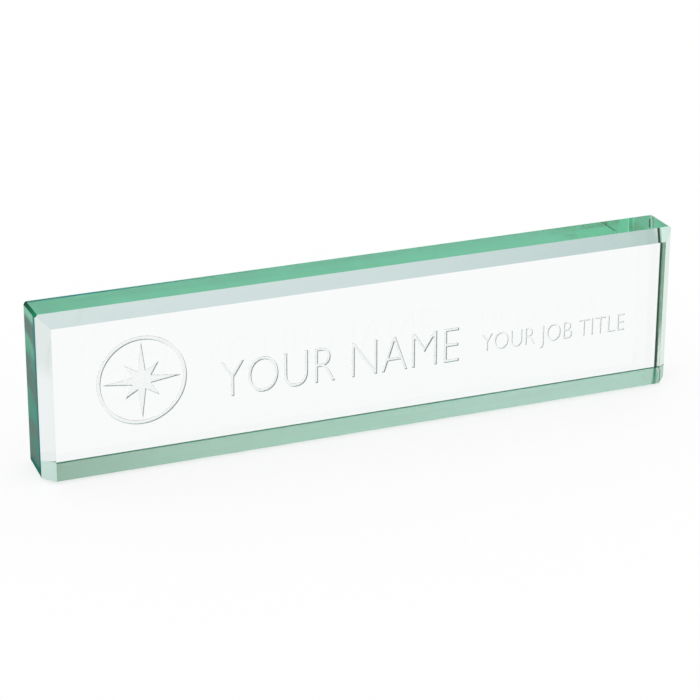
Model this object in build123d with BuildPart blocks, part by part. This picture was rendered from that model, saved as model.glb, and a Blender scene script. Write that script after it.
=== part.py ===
"""Desk name plate: a leaning slab of thick edge-tinted glass on four small clear feet.

The slab is one piece of thick float glass. Its face is bevelled along the top and both ends, and its base
is cut a few degrees off square, so the plate leans back towards the reader's eye. Millimetres, +Z up,
+X along the plate, and the face looks towards -Y. The origin is on the desk, under the middle of the plate.
"""

import os
from math import cos, radians, sin

from build123d import *

# Glass slab
PLATE_WIDTH = 254.0
FACE_HEIGHT = 63.5
GLASS_THICKNESS = 19.0
LEAN_ANGLE = 6.0

# Ground edges of the slab
BEVEL_LEG = 4.5
CORNER_CHAMFER = 1.0
ARRIS = 0.4

# Feet: low clear discs with a rounded rim
FOOT_DIAMETER = 5.0
FOOT_HEIGHT = 1.0
FOOT_EDGE_RADIUS = 0.7
FOOT_END_INSET = 18.0
FOOT_EDGE_MARGIN = 1.0

# Places that follow from the sizes
LEAN = radians(LEAN_ANGLE)
BASE_DEPTH = GLASS_THICKNESS / cos(LEAN)
OVERALL_DEPTH = FACE_HEIGHT * sin(LEAN) + GLASS_THICKNESS * cos(LEAN)
FRONT_Y = -OVERALL_DEPTH / 2
FOOT_EDGE_INSET = ARRIS + FOOT_EDGE_MARGIN + FOOT_DIAMETER / 2
FOOT_X = PLATE_WIDTH / 2 - FOOT_END_INSET
FOOT_FRONT_Y = FRONT_Y + FOOT_EDGE_INSET
FOOT_REAR_Y = FRONT_Y + BASE_DEPTH - FOOT_EDGE_INSET

# The slab's own plane: its X runs along the plate, its Z is square to the face and points at the reader
FACE_PLANE = Plane(
    origin=(0, FRONT_Y, FOOT_HEIGHT),
    x_dir=(1, 0, 0),
    z_dir=(0, -cos(LEAN), sin(LEAN)),
)

TOWARDS_READER = Axis(FACE_PLANE.origin, FACE_PLANE.z_dir)
UP_THE_FACE = Axis(FACE_PLANE.origin, FACE_PLANE.y_dir)

os.makedirs("parts", exist_ok=True)


# Glass slab
with BuildPart() as glass_block:
    # The end outline: face, top square to it, back, and a level base
    with BuildSketch(Plane.YZ.offset(-PLATE_WIDTH / 2)):
        with BuildLine():
            face_foot = Vector(FRONT_Y, FOOT_HEIGHT)
            base_heel = face_foot + Vector(BASE_DEPTH, 0)
            face_top = face_foot + Vector(sin(LEAN), cos(LEAN)) * FACE_HEIGHT
            back_top = face_top + Vector(cos(LEAN), -sin(LEAN)) * GLASS_THICKNESS
            Polyline(face_foot, base_heel, back_top, face_top, close=True)
        make_face()
    extrude(amount=PLATE_WIDTH)

    # The face bevel runs up one end, along the top and down the other end, and is mitred at both corners
    face = glass_block.faces().sort_by(TOWARDS_READER)[-1]
    face_edges = face.edges().sort_by(Axis.Z)
    chamfer(face_edges[1:], length=BEVEL_LEG)

    # The upper corner at each end is taken off from the bevel to the back
    top_face = glass_block.faces().sort_by(UP_THE_FACE)[-1]
    end_edges = top_face.edges().filter_by(GeomType.LINE).sort_by(Axis.X)
    chamfer([end_edges[0], end_edges[-1]], length=CORNER_CHAMFER)

    # Every edge of the back and of the base is dressed with a fine arris
    back_face = glass_block.faces().sort_by(TOWARDS_READER)[0]
    base_face = glass_block.faces().sort_by(Axis.Z)[0]
    chamfer(back_face.edges() + base_face.edges(), length=ARRIS)

glass_block.part.label = "glass_block"
export_step(glass_block.part, "parts/glass_block.step")


def make_foot(name: str, x: float, y: float) -> Part:
    """One clear foot, stuck to the base above the point (x, y) of the desk."""
    with BuildPart() as foot:
        with BuildSketch(Plane(origin=(x, y, 0))):
            Circle(FOOT_DIAMETER / 2)
        extrude(amount=FOOT_HEIGHT)
        lower_rim = foot.edges().sort_by(Axis.Z)[0]
        fillet(lower_rim, radius=FOOT_EDGE_RADIUS)
    foot.part.label = name
    return foot.part


# Feet
for row, foot_y in (("front", FOOT_FRONT_Y), ("rear", FOOT_REAR_Y)):
    for end, foot_x in (("left", -FOOT_X), ("right", FOOT_X)):
        foot_name = f"foot_{row}_{end}"
        export_step(make_foot(foot_name, foot_x, foot_y), f"parts/{foot_name}.step")
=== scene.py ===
"""Looks of a desk name plate: a leaning slab of thick jade-tinted glass, bevelled and engraved.

The slab is ground from a sawn blank facet by facet, as a glass worker does it, and then engraved. It
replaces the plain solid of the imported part. The four clear feet keep their solids and get a finish.
Metres, +Z up, the face looks towards -Y.
"""

from __future__ import annotations

import logging
import math
from dataclasses import dataclass
from enum import Enum
from typing import Any, Iterable

import bpy
from mathutils import Euler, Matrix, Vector

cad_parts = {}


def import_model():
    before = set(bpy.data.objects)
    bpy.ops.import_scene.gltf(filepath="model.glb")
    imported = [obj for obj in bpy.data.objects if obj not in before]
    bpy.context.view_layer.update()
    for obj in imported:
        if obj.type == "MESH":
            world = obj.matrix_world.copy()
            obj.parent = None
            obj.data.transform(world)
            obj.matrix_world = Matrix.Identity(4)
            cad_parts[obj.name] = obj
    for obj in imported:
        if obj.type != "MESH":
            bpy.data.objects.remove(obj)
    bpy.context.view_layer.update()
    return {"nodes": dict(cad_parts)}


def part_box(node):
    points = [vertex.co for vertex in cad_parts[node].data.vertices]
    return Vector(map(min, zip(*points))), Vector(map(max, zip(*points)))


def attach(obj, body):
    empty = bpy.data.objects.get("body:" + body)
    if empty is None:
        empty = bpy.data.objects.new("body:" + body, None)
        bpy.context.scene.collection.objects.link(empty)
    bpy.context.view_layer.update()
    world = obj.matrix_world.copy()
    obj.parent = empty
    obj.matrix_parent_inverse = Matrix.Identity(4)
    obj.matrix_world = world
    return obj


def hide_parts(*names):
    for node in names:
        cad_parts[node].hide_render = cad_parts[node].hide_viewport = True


LOG = logging.getLogger("name_plate")
MM = 0.001
ROOT_BODY = "root"
WALL_SHADE = "wall_shade"
WELD_REACH = 1e-6

Colour = tuple[float, float, float]
Triple = tuple[float, float, float]
WHITE: Colour = (1.0, 1.0, 1.0)
BLACK: Colour = (0.0, 0.0, 0.0)

# Shader maths


class Wire:
    """A shader socket that takes Python arithmetic, one Math node for each operator."""

    def __init__(self, graph: "ShaderGraph", socket: bpy.types.NodeSocket) -> None:
        """Wraps a node's output.

        Args:
            graph: the graph that new Math nodes are added to.
            socket: the output that holds the value.
        """
        self.graph = graph
        self.socket = socket

    def _math(self, operation: str, first: Any, second: Any = None) -> "Wire":
        """One Math node.

        Args:
            operation: Blender's name for the operation.
            first: the first value or wire.
            second: the second value or wire, if the operation has one.

        Returns:
            The result.
        """
        inputs = {0: first} if second is None else {0: first, 1: second}
        return self.graph.node("ShaderNodeMath", {"operation": operation}, inputs)

    def __add__(self, other: Any) -> "Wire":
        """Sum."""
        return self._math("ADD", self, other)

    __radd__ = __add__

    def __sub__(self, other: Any) -> "Wire":
        """Difference."""
        return self._math("SUBTRACT", self, other)

    def __rsub__(self, other: Any) -> "Wire":
        """Difference from a plain number."""
        return self._math("SUBTRACT", other, self)

    def __mul__(self, other: Any) -> "Wire":
        """Product."""
        return self._math("MULTIPLY", self, other)

    __rmul__ = __mul__

    def __gt__(self, other: Any) -> "Wire":
        """One where this value is larger, else zero."""
        return self._math("GREATER_THAN", self, other)

    def __lt__(self, other: Any) -> "Wire":
        """One where this value is smaller, else zero."""
        return self._math("LESS_THAN", self, other)

    def __abs__(self) -> "Wire":
        """Size without sign."""
        return self._math("ABSOLUTE", self)

    def either(self, other: Any) -> "Wire":
        """The larger of two masks."""
        return self._math("MAXIMUM", self, other)


class ShaderGraph:
    """A material's or world's node tree, with one method that makes any node.

    Attributes:
        MIX_LOW: socket of the first colour on a Mix node.
        MIX_HIGH: socket of the second colour.
        MIX_RESULT: output with the mixed colour.
    """

    MIX_LOW = 6
    MIX_HIGH = 7
    MIX_RESULT = 2

    def __init__(self, tree: bpy.types.NodeTree) -> None:
        """Empties the tree.

        Args:
            tree: the node tree to fill.
        """
        self.tree = tree
        tree.nodes.clear()

    def node(
        self,
        kind: str,
        settings: dict[str, Any] | None = None,
        inputs: dict[Any, Any] | None = None,
        output: int | str = 0,
    ) -> Wire:
        """Adds one node.

        Args:
            kind: Blender's type name for the node.
            settings: properties of the node, set before its sockets.
            inputs: socket names or numbers, each with a value or a wire.
            output: the output to hand back.

        Returns:
            The named output as a wire.
        """
        made = self.tree.nodes.new(kind)
        for name, value in (settings or {}).items():
            if name == "stops":
                self.set_stops(made.color_ramp, value)
            else:
                setattr(made, name, value)
        for name, value in (inputs or {}).items():
            if isinstance(value, Wire):
                self.tree.links.new(value.socket, made.inputs[name])
            else:
                made.inputs[name].default_value = value
        return Wire(self, made.outputs[output] if made.outputs else None)

    @staticmethod
    def set_stops(ramp: bpy.types.ColorRamp, stops: Iterable[tuple[float, Colour]]) -> None:
        """Replaces a ramp's stops.

        Args:
            ramp: the ramp.
            stops: places from 0 to 1, each with its colour, in order.
        """
        while len(ramp.elements) > 1:
            ramp.elements.remove(ramp.elements[-1])
        for index, (place, colour) in enumerate(stops):
            stop = ramp.elements.new(place) if index else ramp.elements[0]
            stop.position = place
            stop.color = (*colour, 1.0)

    def position(self) -> Wire:
        """Object coordinates, which are row coordinates in metres on every piece."""
        return self.node("ShaderNodeTexCoord", output="Object")

    def along(self, vector: Wire, origin: Vector, direction: Vector) -> Wire:
        """How far a point lies from an origin along a direction.

        Args:
            vector: the point.
            origin: where the distance is zero.
            direction: a unit vector.

        Returns:
            The distance in metres.
        """
        dot = self.node(
            "ShaderNodeVectorMath",
            {"operation": "DOT_PRODUCT"},
            {0: vector, 1: tuple(direction)},
            "Value",
        )
        return dot - origin.dot(direction)

    def blend(self, factor: Wire, low: Any, high: Any) -> Wire:
        """Mixes two colours.

        Args:
            factor: 0 for the first colour, 1 for the second.
            low: the first colour, or a wire.
            high: the second colour, or a wire.

        Returns:
            The mixed colour.
        """
        first, second = (c if isinstance(c, Wire) else (*c, 1.0) for c in (low, high))
        sockets = {0: factor, self.MIX_LOW: first, self.MIX_HIGH: second}
        return self.node("ShaderNodeMix", {"data_type": "RGBA"}, sockets, self.MIX_RESULT)

    def scaled(self, colour: Any, factor: float) -> Any:
        """A colour times a number.

        Args:
            colour: the colour, or the wire of one.
            factor: the number.

        Returns:
            The product, of the same kind.
        """
        if not isinstance(colour, Wire):
            return tuple(factor * part for part in colour)
        return self.node("ShaderNodeVectorMath", {"operation": "SCALE"}, {0: colour, "Scale": factor})


def new_material(name: str) -> tuple[bpy.types.Material, ShaderGraph]:
    """An empty node material.

    Args:
        name: the material's name.

    Returns:
        The material and its graph.
    """
    material = bpy.data.materials.new(name)
    material.use_nodes = True
    return material, ShaderGraph(material.node_tree)


# Mesh work


class Bench:
    """Small helpers round Blender's operators, which act on what is selected."""

    @staticmethod
    def clear() -> None:
        """Deselects everything."""
        bpy.ops.object.select_all(action="DESELECT")

    @staticmethod
    def pick(piece: bpy.types.Object) -> None:
        """Makes one object the only selected and the active one.

        Args:
            piece: the object.
        """
        Bench.clear()
        piece.select_set(True)
        bpy.context.view_layer.objects.active = piece

    @staticmethod
    def settle(piece: bpy.types.Object) -> None:
        """Moves an object's place, turn and scale into its mesh.

        Args:
            piece: the object.
        """
        Bench.pick(piece)
        bpy.ops.object.transform_apply(location=True, rotation=True, scale=True)

    @staticmethod
    def weld(piece: bpy.types.Object) -> None:
        """Merges vertices that lie together and turns all faces outwards.

        Args:
            piece: the object.
        """
        Bench.pick(piece)
        bpy.ops.object.mode_set(mode="EDIT")
        bpy.ops.mesh.select_all(action="SELECT")
        bpy.ops.mesh.remove_doubles(threshold=WELD_REACH)
        bpy.ops.mesh.normals_make_consistent(inside=False)
        bpy.ops.object.mode_set(mode="OBJECT")

    @staticmethod
    def apply(piece: bpy.types.Object, kind: str, **settings: Any) -> None:
        """Adds a modifier and applies it.

        Args:
            piece: the object.
            kind: Blender's name for the modifier.
            settings: the modifier's properties.
        """
        Bench.pick(piece)
        modifier = piece.modifiers.new(kind.title(), kind)
        for name, value in settings.items():
            setattr(modifier, name, value)
        bpy.ops.object.modifier_apply(modifier=modifier.name)


class Cut(Enum):
    """Kinds of ground surface on the slab."""

    TOP = "top edge"
    LEFT_END = "left end"
    RIGHT_END = "right end"
    BASE = "base"
    TOP_BEVEL = "top bevel"
    LEFT_BEVEL = "left end bevel"
    RIGHT_BEVEL = "right end bevel"
    CORNER = "upper corner chamfer"
    BACK_ARRIS = "arris along the back"
    END_ARRIS = "upright arris at the back"
    SEAM = "seamed base edge"


@dataclass(frozen=True)
class Facet:
    """A plane of the slab.

    Attributes:
        cut: what kind of surface it is.
        point: a point on the plane.
        normal: the plane's direction out of the glass.
    """

    cut: Cut
    point: Vector
    normal: Vector

    def grind(self, slab: bpy.types.Object) -> None:
        """Takes off what lies outside the plane and closes the cut.

        Args:
            slab: the object to cut.
        """
        Bench.pick(slab)
        bpy.ops.object.mode_set(mode="EDIT")
        bpy.ops.mesh.select_all(action="SELECT")
        bpy.ops.mesh.bisect(
            plane_co=self.point,
            plane_no=self.normal.normalized(),
            use_fill=True,
            clear_outer=True,
        )
        bpy.ops.object.mode_set(mode="OBJECT")


# Finishes


class Run(Enum):
    """Ways that colours run over the plate, each from 0 to 1."""

    ALONG = "from the left end to the right"
    UP = "from the base to the top"
    INTO = "from the face to the back"
    ASLANT = "from the base to the top, on lines that fall towards the back"
    MITRED = "from the left end to the right, on lines that lean right towards the back"
    RAKED = "from the left end to the right, on lines that lean further right towards the back"


class Pattern(Enum):
    """Ways that an accent gathers on a surface."""

    EVEN = "all over"
    BANDS = "in irregular bands"
    WALLS = "on walls of the engraving that are turned from the light"


@dataclass(frozen=True)
class Shade:
    """A colour or a grey level that may change over the plate.

    Attributes:
        stops: places along the run, each with its colour.
        run: the way that the colours run.
    """

    stops: tuple[tuple[float, Colour], ...]
    run: Run = Run.ALONG

    @classmethod
    def plain(cls, red: float, green: float, blue: float) -> "Shade":
        """One colour all over."""
        return cls(((0.0, (red, green, blue)),))

    @classmethod
    def level(cls, *stops: tuple[float, float], run: Run = Run.UP) -> "Shade":
        """A number as a grey, with its places along the run."""
        return cls(tuple((place, (value, value, value)) for place, value in stops), run)


@dataclass(frozen=True)
class Line:
    """A narrow line across a run.

    Attributes:
        run: the run that it lies across.
        middle: its place along the run.
        width: its width on the run.
    """

    run: Run
    middle: float
    width: float


@dataclass(frozen=True)
class Accent:
    """A colour that lies over a part of a surface.

    Attributes:
        core: the colour.
        body: share that scatters it where it is strongest.
        where: levels that are multiplied.
        line: a line that it keeps to.
        pattern: how it gathers there.
    """

    core: Colour
    body: float
    where: tuple[Shade, ...] = ()
    line: Line | None = None
    pattern: Pattern = Pattern.EVEN


@dataclass(frozen=True)
class Skin:
    """Look of one kind of surface on the glass.

    Attributes:
        tint: colour of the light that passes, before the shader takes its root.
        core: colour of the share that scatters.
        body: level of that share.
        rough: level of the roughness.
        waver: how much streaks change the colours.
        accents: colours that lie over the core.
    """

    tint: Shade
    core: Shade = Shade.plain(*BLACK)
    body: Shade = Shade.level((0.0, 0.0))
    rough: Shade = Shade.level((0.0, 0.0))
    waver: float = 0.0
    accents: tuple[Accent, ...] = ()


@dataclass(frozen=True)
class Grain:
    """Irregularity of the ground edges. Triples are along, into and up the plate.

    Attributes:
        streaks: streaks to a metre.
        streak_detail: finer steps in the streaks.
        bands: bands to a metre.
        band_detail: finer steps in the bands.
        band_stretch: scale of the bands' pattern.
        band_shift: how far that pattern is moved.
        band_edges: levels of its noise between which a band fades in.
    """

    streaks: Triple = (20.0, 260.0, 260.0)
    streak_detail: float = 4.0
    bands: float = 95.0
    band_detail: float = 1.5
    band_stretch: Triple = (1.0, 0.25, 1.0)
    band_shift: Triple = (0.0, 0.0, 2.0 * MM)
    band_edges: tuple[float, float] = (0.44, 0.56)


class Palette:
    """Paints the shades of a plate's skins as wires of its material.

    Attributes:
        SLANT: how much the aslant run climbs on the way to the back.
        MITRE: how much the mitred run falls behind on that way.
        RAKE: how much the raked run falls behind on it.
    """

    SLANT = 0.15
    MITRE = 0.027
    RAKE = 0.0405

    def __init__(self, graph: ShaderGraph, plate: "GlassPlate", grain: Grain) -> None:
        """Prepares the runs, the streaks and the patterns.

        Args:
            graph: the material's graph.
            plate: the slab that is painted.
            grain: the irregularity of its edges.
        """
        self.graph = graph
        self.place = graph.position()
        foot = plate.face_foot
        self.runs = {
            Run.ALONG: graph.along(self.place, foot, plate.side) * (1.0 / plate.width) + 0.5,
            Run.UP: graph.along(self.place, foot, plate.up_face) * (1.0 / plate.face_height),
            Run.INTO: graph.along(self.place, foot, plate.inward) * (1.0 / plate.thickness),
        }
        self.runs[Run.ASLANT] = self.runs[Run.UP] + self.SLANT * self.runs[Run.INTO]
        self.runs[Run.MITRED] = self.runs[Run.ALONG] - self.MITRE * self.runs[Run.INTO]
        self.runs[Run.RAKED] = self.runs[Run.ALONG] - self.RAKE * self.runs[Run.INTO]
        stretched = graph.node(
            "ShaderNodeMapping", None, {"Vector": self.place, "Scale": grain.streaks}
        )
        self.streaks = graph.node(
            "ShaderNodeTexNoise",
            None,
            {"Vector": stretched, "Scale": 1.0, "Detail": grain.streak_detail},
        )
        self.patterns = {Pattern.BANDS: self.bands(grain), Pattern.WALLS: self.wall_shade()}

    def bands(self, grain: Grain) -> Wire:
        """Irregular bands.

        Args:
            grain: the irregularity of the edges.

        Returns:
            One in a band, else zero, with soft edges.
        """
        drawn = self.graph.node(
            "ShaderNodeMapping",
            None,
            {"Vector": self.place, "Location": grain.band_shift, "Scale": grain.band_stretch},
        )
        clouds = self.graph.node(
            "ShaderNodeTexNoise",
            None,
            {"Vector": drawn, "Scale": grain.bands, "Detail": grain.band_detail},
        )
        low, high = grain.band_edges
        return self.graph.node(
            "ShaderNodeMapRange", None, {"Value": clouds, "From Min": low, "From Max": high}
        )

    def wall_shade(self) -> Wire:
        """The painted shade that the engraving notes on its walls."""
        return self.graph.node("ShaderNodeAttribute", {"attribute_name": WALL_SHADE}, output="Fac")

    def colour(self, shade: Shade, waver: float = 0.0) -> Any:
        """A shade's colour.

        Args:
            shade: the colours.
            waver: how much streaks change them.

        Returns:
            A colour, or the wire of one.
        """
        painted: Any = shade.stops[0][1]
        if len(shade.stops) > 1:
            painted = self.graph.node(
                "ShaderNodeValToRGB", {"stops": shade.stops}, {0: self.runs[shade.run]}
            )
        if waver > 0.0:
            light = self.graph.scaled(painted, 1.0 + waver)
            dark = self.graph.scaled(painted, 1.0 - waver)
            painted = self.graph.blend(self.streaks, light, dark)
        return painted

    def amount(self, shade: Shade) -> Any:
        """A level as a number, or the wire of one."""
        painted = self.colour(shade)
        return painted if isinstance(painted, Wire) else painted[0]

    def on_line(self, line: Line) -> Wire:
        """One on a line, else zero."""
        return abs(self.runs[line.run] - line.middle) < line.width / 2

    def core(self, skin: Skin) -> tuple[Any, Any]:
        """The share of a skin that scatters.

        Args:
            skin: the look of the surface.

        Returns:
            Its colour and how large it is.
        """
        colour = self.colour(skin.core, skin.waver)
        share = self.amount(skin.body)
        for accent in skin.accents:
            strength: Any = self.patterns.get(accent.pattern, 1.0)
            for level in accent.where:
                strength = self.amount(level) * strength
            if accent.line:
                strength = self.on_line(accent.line) * strength
            colour = self.graph.blend(strength, colour, accent.core)
            share = (strength * accent.body).either(share)
        return colour, share


@dataclass(frozen=True)
class JadeGlass:
    """Thick float glass with a green iron tint, polished, with jade edges and frosted engraving, and
    painted shade, light and reflections in places.

    Attributes:
        index: refractive index.
        tint: colour that Volume Absorption leaves.
        density: how strongly the tint builds up with depth.
        clear: colour of the light that passes the polished face and back.
        core_rough: roughness of the share that scatters.
        core_index: its refractive index, low so that only the glass shines.
        frost_and_wall_shade: look of the engraving: frosted floors, and painted shade on walls turned
            from the light.
        frost_grain: grains to a metre in the engraving.
        frost_detail: finer steps in the grains.
        frost_grit: how much the grains change the roughness.
        grain: irregularity of the ground edges.
    """

    index: float = 1.52
    tint: Colour = (0.40, 0.85, 0.70)
    density: float = 4.0
    clear: Colour = (1.0, 0.978, 0.989)
    core_rough: float = 0.5
    core_index: float = 1.05
    frost_and_wall_shade: Skin = Skin(
        Shade.plain(*WHITE),
        core=Shade.plain(0.98, 0.98, 0.98),
        body=Shade.level((0.0, 0.1)),
        rough=Shade.level((0.0, 0.2)),
        # Painted shade: grey on the engraving's walls that are turned from the light.
        accents=(Accent((0.55, 0.56, 0.56), 0.85, pattern=Pattern.WALLS),),
    )
    frost_grain: float = 4000.0
    frost_detail: float = 2.0
    frost_grit: float = 0.2
    grain: Grain = Grain()

    def bevels(self) -> dict[Cut, Skin]:
        """Looks of the face bevel.

        Returns:
            A skin for each of its three sides.
        """
        # Painted shade: a dark bar at the foot of the right bevel, standing for the base seen through
        # it.
        foot_bar = Accent(
            (0.12, 0.25, 0.18),
            0.75,
            (Shade.level((0.085, 1.0), (0.095, 0.0)),),
            Line(Run.INTO, 0.04, 0.06),
        )
        return {
            Cut.TOP_BEVEL: Skin(
                Shade(
                    (
                        (0.0, (0.46, 0.585, 0.575)),
                        (0.5, (0.405, 0.54, 0.53)),
                        (0.88, (0.285, 0.42, 0.41)),
                        (0.968, (0.245, 0.395, 0.35)),
                        # Painted light: this stop and the share below make a pale patch at the mitre
                        # at the right end.
                        (0.978, (0.62, 0.76, 0.70)),
                    )
                ),
                core=Shade.plain(0.74, 0.95, 0.89),
                body=Shade.level((0.9745, 0.0), (0.9755, 0.85), run=Run.MITRED),
            ),
            Cut.LEFT_BEVEL: Skin(
                Shade(((0.62, (0.79, 0.82, 0.83)), (0.72, (0.61, 0.68, 0.65))), Run.UP),
                core=Shade.plain(0.75, 0.93, 0.87),
                # Painted light: a pale patch at the foot of the bevel, standing for the base seen
                # through it.
                body=Shade.level((0.12, 0.8), (0.13, 0.0)),
            ),
            Cut.RIGHT_BEVEL: Skin(
                Shade(((0.2, (0.42, 0.67, 0.56)), (0.5, (0.49, 0.66, 0.56))), Run.UP),
                accents=(foot_bar,),
            ),
        }

    def top_accents(self) -> tuple[Accent, ...]:
        """A teal rim along the back of the top edge, and painted reflections of the right end in it.

        Returns:
            The accents, the later ones over the earlier.
        """
        rim = Accent(
            (0.01, 0.19, 0.19),
            0.8,
            (
                Shade.level((0.89, 0.0), (0.91, 1.0), run=Run.INTO),
                Shade.level((0.1, 1.0), (0.4, 0.0), run=Run.ALONG),
            ),
        )
        # Painted reflections of the right end: dark and pale lines, a dark stroke and a white
        # highlight.
        cross_line = Accent(
            (0.01, 0.20, 0.08),
            0.70,
            (Shade.level((0.36, 0.0), (0.42, 1.0), run=Run.INTO),),
            Line(Run.ALONG, 0.9104, 0.0032),
        )
        pale_line = Accent((0.22, 0.64, 0.42), 0.6, line=Line(Run.RAKED, 0.917, 0.0017))
        dull_band = Accent((0.07, 0.32, 0.17), 0.7, line=Line(Run.RAKED, 0.921, 0.006))
        dark_stroke = Accent(
            (0.01, 0.06, 0.03),
            0.75,
            (
                Shade.level((0.29, 0.0), (0.31, 1.0), (0.76, 1.0), (0.78, 0.0), run=Run.INTO),
            ),
            Line(Run.RAKED, 0.9533, 0.0026),
        )
        painted_glint = Accent((0.50, 0.80, 0.60), 0.6, line=Line(Run.RAKED, 0.957, 0.0022))
        return rim, cross_line, pale_line, dull_band, dark_stroke, painted_glint

    def left_end_accents(self) -> tuple[Accent, ...]:
        """Smoky bands and a paler head over the left end, with teal lines at its front and foot.

        Returns:
            The accents, the later ones over the earlier.
        """
        smoke = Accent((0.10, 0.18, 0.15), 0.0, pattern=Pattern.BANDS)
        head = Accent((0.25, 0.60, 0.42), 0.82, (Shade.level((0.92, 0.0), (0.95, 1.0)),))
        front = Accent(
            (0.03, 0.205, 0.195),
            0.97,
            (Shade.level((0.32, 1.0), (0.40, 0.0), run=Run.INTO),),
        )
        foot = Accent((0.0, 0.15, 0.12), 0.97, (Shade.level((0.05, 1.0), (0.10, 0.0)),))
        return smoke, head, front, foot

    def edges(self) -> dict[Cut, Skin]:
        """Looks of the top, the ends and the base.

        Returns:
            A skin for each of them.
        """
        return {
            Cut.TOP: Skin(
                Shade(((0.955, (0.03, 0.90, 0.47)), (0.965, (0.02, 1.0, 0.60)))),
                core=Shade(
                    (
                        (0.80, (0.175, 0.49, 0.335)),
                        (0.88, (0.10, 0.43, 0.235)),
                        (0.955, (0.085, 0.44, 0.225)),
                        (0.965, (0.03, 0.85, 0.45)),
                    )
                ),
                body=Shade.level(
                    (0.80, 0.6), (0.88, 0.45), (0.955, 0.45), (0.965, 0.16), run=Run.ALONG
                ),
                rough=Shade.level((0.80, 0.2), (0.88, 0.0), run=Run.ALONG),
                waver=0.08,
                accents=self.top_accents(),
            ),
            Cut.LEFT_END: Skin(
                Shade.plain(0.08, 0.42, 0.30),
                core=Shade(
                    (
                        (0.0, (0.03, 0.20, 0.165)),
                        (0.7, (0.08, 0.35, 0.24)),
                        (0.95, (0.24, 0.58, 0.40)),
                    ),
                    Run.UP,
                ),
                body=Shade.level((0.0, 0.82)),
                rough=Shade.level((0.0, 0.1)),
                waver=0.15,
                accents=self.left_end_accents(),
            ),
            Cut.RIGHT_END: Skin(
                Shade.plain(0.30, 0.70, 0.50),
                core=Shade(((0.6, (0.19, 0.46, 0.29)), (0.85, (0.42, 0.80, 0.53))), Run.INTO),
                body=Shade.level((0.28, 0.28), (0.48, 0.86), run=Run.ASLANT),
                rough=Shade.level((0.0, 0.05)),
                waver=0.08,
            ),
            Cut.BASE: Skin(
                Shade.plain(0.30, 0.90, 0.60),
                core=Shade(
                    (
                        (0.0, (0.03, 0.66, 0.29)),
                        (0.5, (0.14, 0.98, 0.59)),
                        (0.75, (0.18, 1.0, 0.70)),
                        (1.0, (0.14, 1.0, 0.66)),
                    )
                ),
                body=Shade.level(
                    (0.0, 0.70), (0.25, 0.62), (0.5, 0.62), (0.75, 0.58), (1.0, 0.56), run=Run.ALONG
                ),
                rough=Shade.level((0.0, 0.2)),
                waver=0.12,
            ),
        }

    def dressed_edges(self) -> dict[Cut, Skin]:
        """Looks of the chamfers, arrises and seams.

        Returns:
            A skin for each kind.
        """
        return {
            Cut.SEAM: Skin(Shade.plain(0.49, 0.88, 0.69)),
            Cut.CORNER: Skin(
                Shade.plain(0.001, 0.10, 0.04),
                core=Shade(((0.25, (0.002, 0.22, 0.10)), (1.0, (0.0, 0.045, 0.03))), Run.INTO),
                body=Shade.level((0.0, 0.9)),
            ),
            Cut.BACK_ARRIS: Skin(
                Shade.plain(0.05, 0.25, 0.16),
                core=Shade(((0.2, (0.08, 0.34, 0.24)), (0.8, (0.06, 0.22, 0.15))), Run.UP),
                body=Shade.level((0.0, 0.85)),
            ),
            Cut.END_ARRIS: Skin(
                Shade.plain(0.001, 0.03, 0.01),
                core=Shade.plain(0.0, 0.10, 0.04),
                body=Shade.level((0.0, 0.98)),
            ),
        }

    def make(self, plate: "GlassPlate") -> bpy.types.Material:
        """Builds the material.

        Args:
            plate: the slab, for where its surfaces and its engraving lie.

        Returns:
            The material.
        """
        material, graph = new_material("jade_glass")
        palette = Palette(graph, plate, self.grain)
        tint: Any = self.clear
        core: Any = BLACK
        share: Any = 0.0
        roughness: Any = 0.0
        for cut, skin in {**self.bevels(), **self.edges(), **self.dressed_edges()}.items():
            mask = plate.mask(graph, palette.place, cut)
            skin_core, skin_share = palette.core(skin)
            tint = graph.blend(mask, tint, palette.colour(skin.tint, skin.waver))
            core = graph.blend(mask, core, skin_core)
            share = (mask * skin_share).either(share)
            roughness = mask * palette.amount(skin.rough) + roughness
        groove = plate.groove_mask(graph, palette.place)
        grit = graph.node(
            "ShaderNodeTexNoise",
            None,
            {"Vector": palette.place, "Scale": self.frost_grain, "Detail": self.frost_detail},
        )
        frost_and_wall_shade_core, frost_share = palette.core(self.frost_and_wall_shade)
        frost_rough = grit * self.frost_grit + palette.amount(self.frost_and_wall_shade.rough)
        glass = graph.node(
            "ShaderNodeBsdfPrincipled",
            None,
            {
                "Base Color": graph.blend(groove, tint, palette.colour(self.frost_and_wall_shade.tint)),
                "Roughness": roughness + groove * frost_rough,
                "IOR": self.index,
                "Transmission Weight": 1.0,
            },
        )
        body = graph.node(
            "ShaderNodeBsdfPrincipled",
            None,
            {
                "Base Color": graph.blend(groove, core, frost_and_wall_shade_core),
                "Roughness": self.core_rough,
                "IOR": self.core_index,
            },
        )
        share = (groove * frost_share).either(share)
        surface = graph.node("ShaderNodeMixShader", None, {0: share, 1: glass, 2: body})
        inside = graph.node(
            "ShaderNodeVolumeAbsorption", None, {"Color": (*self.tint, 1.0), "Density": self.density}
        )
        graph.node("ShaderNodeOutputMaterial", None, {"Surface": surface, "Volume": inside})
        return material


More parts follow.
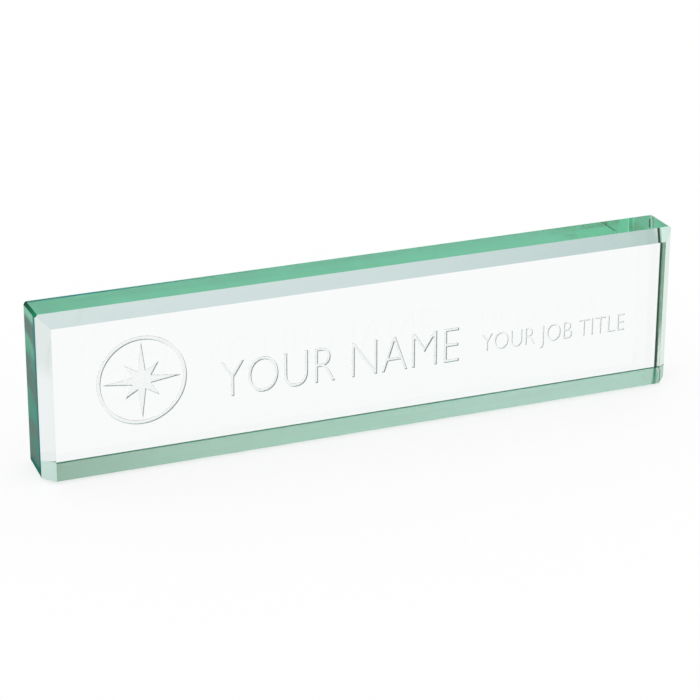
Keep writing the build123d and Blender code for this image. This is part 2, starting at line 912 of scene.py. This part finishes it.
@dataclass(frozen=True)
class ClearFoot:
    """Soft clear polyurethane of a stuck-on foot.

    Attributes:
        colour: pale body colour.
        dulled: share of it in the duller grains.
        grain: grains to a metre.
        detail: finer steps in the grains.
        rough: least roughness of the skin.
        rough_swing: how much the grains add to it.
        index: refractive index.
    """

    colour: Colour = (0.86, 0.89, 0.87)
    dulled: float = 0.94
    grain: float = 900.0
    detail: float = 3.0
    rough: float = 0.3
    rough_swing: float = 0.15
    index: float = 1.49

    def make(self) -> bpy.types.Material:
        """Builds the material.

        Returns:
            The material.
        """
        material, graph = new_material("clear_foot")
        grain = graph.node(
            "ShaderNodeTexNoise",
            None,
            {"Vector": graph.position(), "Scale": self.grain, "Detail": self.detail},
        )
        surface = graph.node(
            "ShaderNodeBsdfPrincipled",
            None,
            {
                "Base Color": graph.blend(grain, graph.scaled(self.colour, self.dulled), self.colour),
                "Roughness": self.rough + self.rough_swing * grain,
                "IOR": self.index,
            },
        )
        graph.node("ShaderNodeOutputMaterial", None, {"Surface": surface})
        return material


# The object


@dataclass
class GlassPlate:
    """The slab of glass.

    It is shaped in its own frame, with X along the plate, Y into the glass from the face and Z up the
    face, and then leaned back onto its cut base.

    Attributes:
        width: length of the plate along X.
        front_y: where the lower edge of the face lies.
        base_z: height of the base above the desk.
        face_height: height up the sloping face.
        thickness: thickness of the glass.
        lean: angle of the base cut, by which the plate leans back.
        bevel_leg: width and depth of the face bevel.
        corner_chamfer: leg of the two upper corner chamfers.
        arris: leg of the arrises along the top and the base of the back.
        end_arris: leg of the two upright arrises at the back.
        seam: leg of the seamed edges of the base.
        edge_round: polished round on every edge.
        round_steps: flats in that round.
        round_angle: edges that turn by less than this stay sharp.
        groove_depth: depth of the engraving.
        groove_span: depths between which a surface is groove, as shares of the groove's depth.
        bare_rim: rim of the face that is never engraved, in widths of the bevel.
    """

    width: float
    front_y: float
    base_z: float
    face_height: float = 63.5 * MM
    thickness: float = 19.0 * MM
    lean: float = math.radians(6.0)
    bevel_leg: float = 4.5 * MM
    corner_chamfer: float = 1.0 * MM
    arris: float = 0.25 * MM
    end_arris: float = 0.6 * MM
    seam: float = 0.2 * MM
    edge_round: float = 0.08 * MM
    round_steps: int = 2
    round_angle: float = math.radians(10.0)
    groove_depth: float = 0.9 * MM
    groove_span: tuple[float, float] = (0.03, 1.05)
    bare_rim: float = 1.3

    @property
    def face_foot(self) -> Vector:
        """Middle of the face's lower edge."""
        return Vector((0.0, self.front_y, self.base_z))

    @property
    def side(self) -> Vector:
        """Unit vector along the plate to its right end."""
        return Vector((1.0, 0.0, 0.0))

    @property
    def inward(self) -> Vector:
        """Unit vector from the face into the glass."""
        return Vector((0.0, math.cos(self.lean), -math.sin(self.lean)))

    @property
    def up_face(self) -> Vector:
        """Unit vector up the face."""
        return Vector((0.0, math.sin(self.lean), math.cos(self.lean)))

    def leaned(self, vector: Vector) -> Vector:
        """A direction of the slab's own frame, as it stands on the desk.

        Args:
            vector: the direction.

        Returns:
            The leaned direction.
        """
        return self.side * vector.x + self.inward * vector.y + self.up_face * vector.z

    def facets(self) -> Iterable[Facet]:
        """Planes of the slab besides its face and back, in the slab's own frame.

        Returns:
            The planes, in the order that they are ground.
        """
        half, tall, deep = self.width / 2, self.face_height, self.thickness
        leg, nick, seam = self.bevel_leg, self.corner_chamfer, self.seam
        fine, upright = self.arris, self.end_arris
        rise = deep * math.tan(self.lean)
        front, back, top = Vector((0, -1, 0)), Vector((0, 1, 0)), Vector((0, 0, 1))
        base = Vector((0.0, math.sin(self.lean), -math.cos(self.lean)))
        yield Facet(Cut.TOP, Vector((0, 0, tall)), top)
        yield Facet(Cut.BASE, Vector((0, 0, 0)), base)
        yield Facet(Cut.TOP_BEVEL, Vector((0, 0, tall - leg)), front + top)
        yield Facet(Cut.BACK_ARRIS, Vector((0, deep, tall - fine)), back + top)
        yield Facet(Cut.BACK_ARRIS, Vector((0, deep, rise + fine)), back + base)
        yield Facet(Cut.SEAM, Vector((0, 0, seam)), front + base)
        for end, side, bevel in (
            (Vector((-1, 0, 0)), Cut.LEFT_END, Cut.LEFT_BEVEL),
            (Vector((1, 0, 0)), Cut.RIGHT_END, Cut.RIGHT_BEVEL),
        ):
            yield Facet(side, end * half, end)
            yield Facet(bevel, end * (half - leg), front + end)
            yield Facet(Cut.CORNER, end * (half - nick) + Vector((0, 0, tall)), top + end)
            yield Facet(Cut.END_ARRIS, end * (half - upright) + Vector((0, deep, 0)), back + end)
            yield Facet(Cut.SEAM, end * half + Vector((0, 0, seam / math.cos(self.lean))), base + end)

    def mask(self, graph: ShaderGraph, place: Wire, cut: Cut) -> Wire:
        """Where a kind of surface lies.

        Args:
            graph: the material's graph.
            place: the point on the surface.
            cut: the kind of surface.

        Returns:
            One on those planes, else zero.
        """
        found: Any = None
        for facet in self.facets():
            if facet.cut is cut:
                point = self.face_foot + self.leaned(facet.point)
                normal = self.leaned(facet.normal.normalized())
                on_plane = graph.along(place, point, normal) > -self.edge_round / 2
                found = on_plane if found is None else found.either(on_plane)
        return found

    def groove_mask(self, graph: ShaderGraph, place: Wire) -> Wire:
        """Where the engraving lies.

        Args:
            graph: the material's graph.
            place: the point on the surface.

        Returns:
            One in the grooves, else zero.
        """
        depth = graph.along(place, self.face_foot, self.inward)
        height = graph.along(place, self.face_foot, self.up_face)
        across = abs(graph.along(place, self.face_foot, self.side))
        rim = self.bare_rim * self.bevel_leg
        shallow, deep = (share * self.groove_depth for share in self.groove_span)
        sunk = (depth > shallow) * (depth < deep)
        inside = (across < self.width / 2 - rim) * (height < self.face_height - rim)
        return sunk * inside * (height > rim)

    def saw_blank(self) -> bpy.types.Object:
        """A square-edged blank, in the slab's own frame.

        Returns:
            The blank.
        """
        Bench.clear()
        bpy.ops.mesh.primitive_cube_add(
            size=1.0, location=(0.0, self.thickness / 2, self.face_height / 2)
        )
        slab = bpy.context.object
        slab.name = slab.data.name = "glass_plate"
        slab.scale = (self.width, self.thickness, self.face_height)
        Bench.settle(slab)
        return slab

    def lean_back(self, piece: bpy.types.Object) -> None:
        """Takes a piece from the slab's own frame to its place on the desk.

        Args:
            piece: the object.
        """
        piece.rotation_euler = Euler((-self.lean, 0.0, 0.0))
        piece.location = self.face_foot
        Bench.settle(piece)

    def build(self, cutters: list[bpy.types.Object]) -> bpy.types.Object:
        """Grinds, polishes, engraves and seats the slab.

        Args:
            cutters: closed shapes in the slab's own frame, which the engraving takes out.

        Returns:
            The finished piece.
        """
        slab = self.saw_blank()
        for facet in self.facets():
            if facet.cut not in (Cut.TOP, Cut.LEFT_END, Cut.RIGHT_END):
                facet.grind(slab)
        Bench.weld(slab)
        Bench.apply(
            slab,
            "BEVEL",
            width=self.edge_round,
            segments=self.round_steps,
            limit_method="ANGLE",
            angle_limit=self.round_angle,
        )
        for cutter in cutters:
            Bench.apply(
                slab, "BOOLEAN", operation="DIFFERENCE", solver="EXACT", use_self=True, object=cutter
            )
            bpy.data.objects.remove(cutter)
        self.lean_back(slab)
        bpy.ops.object.shade_flat()
        return slab


@dataclass
class Engraving:
    """Shapes cut into the face: plain placeholder words and a compass star in a ring.

    Attributes:
        plate: the slab that is engraved.
        name_words: large words.
        title_words: small words.
        name_size: letter size of the large words.
        title_size: letter size of the small words.
        name_at: left end of the large words' baseline, from the face's lower middle.
        title_at: left end of the small words' baseline.
        condense: width of the letters against the font's own.
        thinning: how much each side of a stroke is drawn in.
        letter_steps: straight steps in a bow of a letter.
        star_at: middle of the star.
        ring_radius: outside of the ring.
        ring_width: width of the ring's line.
        ring_corners: corners of the ring's outline.
        star_reach: length of the star's long points against the ring's radius.
        point_shares: a long point, a dent, a short point and a dent, as shares of the long point.
        star_corners: corners of the star's outline.
        light_from: where the painted light on the grooves comes from, in the slab's own frame.
        wall_tone: painted shade of a wall that is neither turned to the light nor from it.
    """

    plate: GlassPlate
    name_words: str = "YOUR NAME"
    title_words: str = "YOUR JOB TITLE"
    name_size: float = 21.0 * MM
    title_size: float = 10.4 * MM
    name_at: tuple[float, float] = (-60.0 * MM, 22.5 * MM)
    title_at: tuple[float, float] = (45.0 * MM, 25.0 * MM)
    condense: float = 0.8
    thinning: float = 0.4 * MM
    letter_steps: int = 6
    star_at: tuple[float, float] = (-89.5 * MM, 34.5 * MM)
    ring_radius: float = 17.0 * MM
    ring_width: float = 1.4 * MM
    ring_corners: int = 96
    star_reach: float = 0.86
    point_shares: tuple[float, ...] = (1.0, 0.26, 0.62, 0.26)
    star_corners: int = 16
    light_from: Triple = (0.97, 0.0, -0.24)
    wall_tone: float = 0.6

    def words(self, text: str, size: float, corner: tuple[float, float]) -> bpy.types.Object:
        """Letters as closed shapes from outside the face to the groove's floor, small ones less deep.

        Args:
            text: the words.
            size: letter size.
            corner: left end of the baseline, along and up the face.

        Returns:
            The cutter, in the slab's own frame.
        """
        Bench.clear()
        bpy.ops.object.text_add(location=(corner[0], 0.0, corner[1]), rotation=(math.pi / 2, 0.0, 0.0))
        letters = bpy.context.object
        letters.data.body = text
        letters.data.size = size
        letters.data.extrude = self.plate.groove_depth * size / self.name_size
        letters.data.offset = -self.thinning * size / self.name_size
        letters.data.resolution_u = self.letter_steps
        letters.scale.x = self.condense
        bpy.ops.object.convert(target="MESH")
        letters = bpy.context.object
        Bench.settle(letters)
        Bench.weld(letters)
        return letters

    def disc(self, corners: int, radius: float) -> bpy.types.Object:
        """A flat face standing on the engraved spot.

        Args:
            corners: corners of its outline.
            radius: its radius.

        Returns:
            The flat shape, in the slab's own frame.
        """
        Bench.clear()
        bpy.ops.mesh.primitive_circle_add(
            vertices=corners,
            radius=radius,
            fill_type="NGON",
            location=(self.star_at[0], 0.0, self.star_at[1]),
            rotation=(math.pi / 2, 0.0, 0.0),
        )
        made = bpy.context.object
        Bench.settle(made)
        return made

    def thicken(self, flat: bpy.types.Object) -> bpy.types.Object:
        """Gives a flat shape the depth of the groove on both sides.

        Args:
            flat: the shape.

        Returns:
            The same object, closed.
        """
        Bench.apply(flat, "SOLIDIFY", thickness=2 * self.plate.groove_depth, offset=0.0)
        Bench.weld(flat)
        return flat

    def ring(self) -> bpy.types.Object:
        """The line round the star.

        Returns:
            The cutter, in the slab's own frame.
        """
        ring = self.disc(self.ring_corners, self.ring_radius)
        Bench.pick(ring)
        bpy.ops.object.mode_set(mode="EDIT")
        bpy.ops.mesh.select_all(action="SELECT")
        bpy.ops.mesh.inset(thickness=self.ring_width)
        bpy.ops.mesh.delete(type="FACE")
        bpy.ops.object.mode_set(mode="OBJECT")
        return self.thicken(ring)

    def star(self) -> bpy.types.Object:
        """A compass star with long and short points.

        Returns:
            The cutter, in the slab's own frame.
        """
        star = self.disc(self.star_corners, self.ring_radius * self.star_reach)
        middle = Vector((self.star_at[0], 0.0, self.star_at[1]))
        for index, vertex in enumerate(star.data.vertices):
            share = self.point_shares[index % len(self.point_shares)]
            vertex.co = middle + (vertex.co - middle) * share
        return self.thicken(star)

    def cutters(self) -> list[bpy.types.Object]:
        """Every shape to cut.

        Returns:
            The cutters, in the slab's own frame.
        """
        return [
            self.words(self.name_words, self.name_size, self.name_at),
            self.words(self.title_words, self.title_size, self.title_at),
            self.ring(),
            self.star(),
        ]

    def shade_walls(self, slab: bpy.types.Object) -> None:
        """Notes on every polygon how steep it stands in the face and how far it turns from the light,
        for painted shade.

        Args:
            slab: the engraved piece.
        """
        light = self.plate.leaned(Vector(self.light_from))
        shades = slab.data.attributes.new(WALL_SHADE, "FLOAT", "FACE")
        for face, shade in zip(slab.data.polygons, shades.data):
            steep = 1.0 - abs(face.normal.dot(self.plate.inward))
            shade.value = steep * min(1.0, max(0.0, self.wall_tone - face.normal.dot(light)))


# The studio


@dataclass
class Studio:
    """White floor, soft light and the camera.

    Attributes:
        floor_side: side of the floor.
        floor_colour: its colour.
        floor_glow: how much of its white is plain where it is seen, which lightens the shadow.
        glass_glow: the same for what is seen through the glass.
        sky: strength of the white surroundings.
        azimuth: where the camera stands round the plate, 0 straight in front.
        elevation: how high it stands.
        roll: its turn about its own axis.
        film: width of the film in millimetres.
        lens: focal length in millimetres.
        near: nearest distance that the camera sees.
        distance: from the point that it aims at.
        aim: the point in the middle of the picture.
        bounces: most turns of a light path, for the many surfaces of the glass.
    """

    floor_side: float = 8.0
    floor_colour: Colour = (0.80, 0.80, 0.80)
    floor_glow: float = 0.75
    glass_glow: float = 0.96
    sky: float = 1.0
    azimuth: float = math.radians(-23.693)
    elevation: float = math.radians(27.683)
    roll: float = math.radians(2.885)
    film: float = 36.0
    lens: float = 133.28
    near: float = 0.01
    distance: float = 0.9697
    aim: Triple = (-4.77 * MM, 0.0, 29.64 * MM)
    bounces: int = 40

    def lay_floor(self) -> None:
        """Lays a large pale floor."""
        Bench.clear()
        bpy.ops.mesh.primitive_plane_add(size=self.floor_side)
        floor = bpy.context.object
        floor.name = "floor"
        material, graph = new_material("floor_paper")
        straight = graph.node("ShaderNodeLightPath", output="Is Camera Ray")
        mirrored = graph.node("ShaderNodeLightPath", output="Is Glossy Ray")
        refracted = graph.node("ShaderNodeLightPath", output="Is Transmission Ray")
        seen = straight.either(mirrored)
        glow = (seen * self.floor_glow).either(refracted * self.glass_glow)
        tone = graph.blend(seen.either(refracted), self.floor_colour, WHITE)
        paper = graph.node("ShaderNodeBsdfDiffuse", None, {"Color": tone})
        white = graph.node("ShaderNodeEmission", None, {"Color": (*WHITE, 1.0), "Strength": 1.0})
        surface = graph.node("ShaderNodeMixShader", None, {0: glow, 1: paper, 2: white})
        graph.node("ShaderNodeOutputMaterial", None, {"Surface": surface})
        floor.data.materials.append(material)

    def light(self) -> None:
        """Sets white surroundings."""
        world = bpy.data.worlds.new("studio")
        bpy.context.scene.world = world
        world.use_nodes = True
        graph = ShaderGraph(world.node_tree)
        sky = graph.node("ShaderNodeBackground", None, {"Color": (*WHITE, 1.0), "Strength": self.sky})
        graph.node("ShaderNodeOutputWorld", None, {"Surface": sky})

    def set_camera(self) -> None:
        """Places the camera at the photograph's viewing angle."""
        back = Vector(
            (
                math.sin(self.azimuth) * math.cos(self.elevation),
                -math.cos(self.azimuth) * math.cos(self.elevation),
                math.sin(self.elevation),
            )
        )
        data = bpy.data.cameras.new("camera")
        camera = bpy.data.objects.new("camera", data)
        bpy.context.scene.collection.objects.link(camera)
        data.sensor_fit = "HORIZONTAL"
        data.sensor_width = self.film
        data.lens = self.lens
        data.clip_start = self.near
        camera.location = Vector(self.aim) + back * self.distance
        level = back.to_track_quat("Z", "Y")
        roll = Euler((0.0, 0.0, self.roll)).to_quaternion()
        camera.rotation_euler = (level @ roll).to_euler()
        bpy.context.scene.camera = camera

    def set_up(self) -> None:
        """Sets up the floor, the light, the camera and the plain view transform."""
        self.lay_floor()
        self.light()
        self.set_camera()
        scene = bpy.context.scene
        scene.view_settings.view_transform = "Standard"
        scene.cycles.max_bounces = self.bounces
        scene.cycles.glossy_bounces = self.bounces
        scene.cycles.transmission_bounces = self.bounces


def corners(box: tuple[Vector, Vector]) -> list[list[float]]:
    """A box as plain lists.

    Args:
        box: lowest and highest corner.

    Returns:
        The two corners.
    """
    return [[float(value) for value in corner] for corner in box]


def main() -> None:
    """Builds the plate, dresses the feet and sets up the studio."""
    logging.basicConfig(level=logging.INFO, format="%(name)s: %(message)s")
    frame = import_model()

    low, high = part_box("glass_block")
    plate = GlassPlate(width=high.x - low.x, front_y=low.y, base_z=low.z)
    engraving = Engraving(plate)
    slab = plate.build(engraving.cutters())
    engraving.shade_walls(slab)
    slab.data.materials.append(JadeGlass().make(plate))
    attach(slab, ROOT_BODY)
    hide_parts("glass_block")
    LOG.info("%s: %d faces", slab.name, len(slab.data.polygons))

    foot_finish = ClearFoot().make()
    for name, node in frame["nodes"].items():
        if name.startswith("foot_"):
            node.data.materials.clear()
            node.data.materials.append(foot_finish)
            LOG.info("%s: finish set", name)

    Studio().set_up()


if __name__ == "__main__":
    main()
